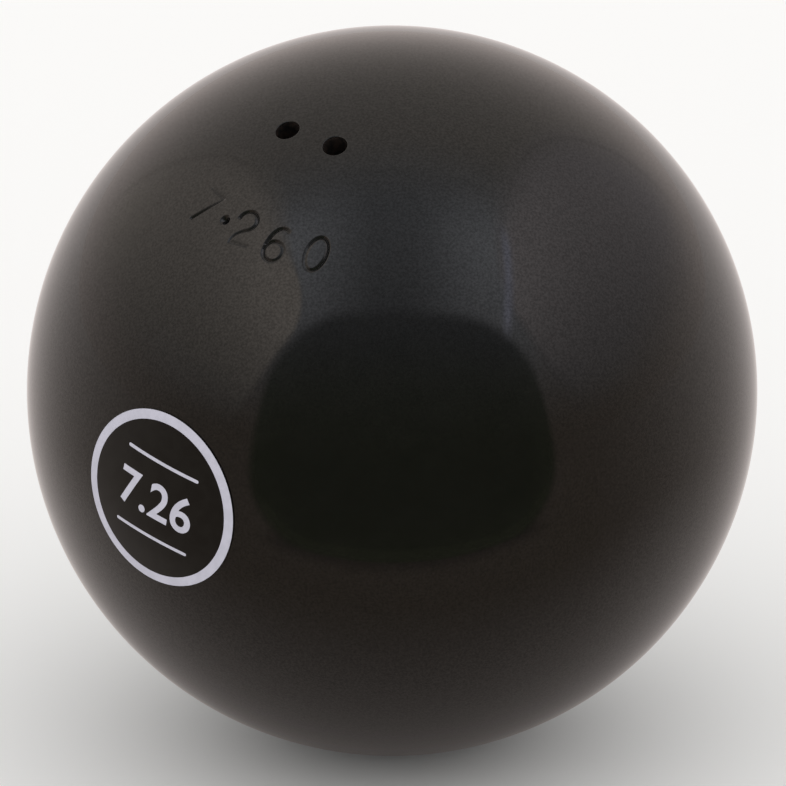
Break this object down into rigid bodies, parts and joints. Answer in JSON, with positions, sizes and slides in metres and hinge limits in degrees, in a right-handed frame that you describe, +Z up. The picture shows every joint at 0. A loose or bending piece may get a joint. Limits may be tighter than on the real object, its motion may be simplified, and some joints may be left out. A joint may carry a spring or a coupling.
{
  "type": "shot put",
  "caption": "Gloss black iron throwing ball for athletics, filled with lead behind a screwed plug with blind spanner holes, with punched mass figures and a round label.",
  "frame": {"origin": "the ball's centre", "axes": "+Z up; the picture looks along +Y and 23 degrees down; the plug's axis leans 25.3 degrees from +Z, to the front and left"},
  "size_m": [0.1247, 0.1248, 0.1249],
  "materials": {
    "ball_paint": "gloss",
    "plug_paint": "gloss",
    "washer_fibre": "matte",
    "wad_felt": "matte",
    "lead": "satin",
    "label_vinyl": "gloss"
  },
  "bodies": {
    "ball": {"ball": "ball_paint", "label": "label_vinyl", "packing_wad": "wad_felt", "lead_core": "lead", "trim_pellet_1": "lead", "trim_pellet_2": "lead", "trim_pellet_3": "lead", "trim_pellet_4": "lead", "trim_pellet_5": "lead", "trim_pellet_6": "lead", "trim_pellet_7": "lead"},
    "washer": {"seal_washer": "washer_fibre"},
    "plug": {"plug": "plug_paint"}
  },
  "joints": [
    {"name": "plug_lift", "type": "slide", "parent": "ball", "child": "washer", "axis": [-0.2207, -0.3659, 0.9041], "range_m": [0, 0.0151]},
    {"name": "plug_turn", "type": "hinge", "parent": "washer", "child": "plug", "pos_m": [-0.01026, -0.01702, 0.04204], "axis": [-0.2207, -0.3659, 0.9041], "range_deg": [0, 2160]}
  ],
  "couplings": [
    {"joint": "plug_lift", "follows": "plug_turn", "m_per_rad": 0.00039789}
  ]
}
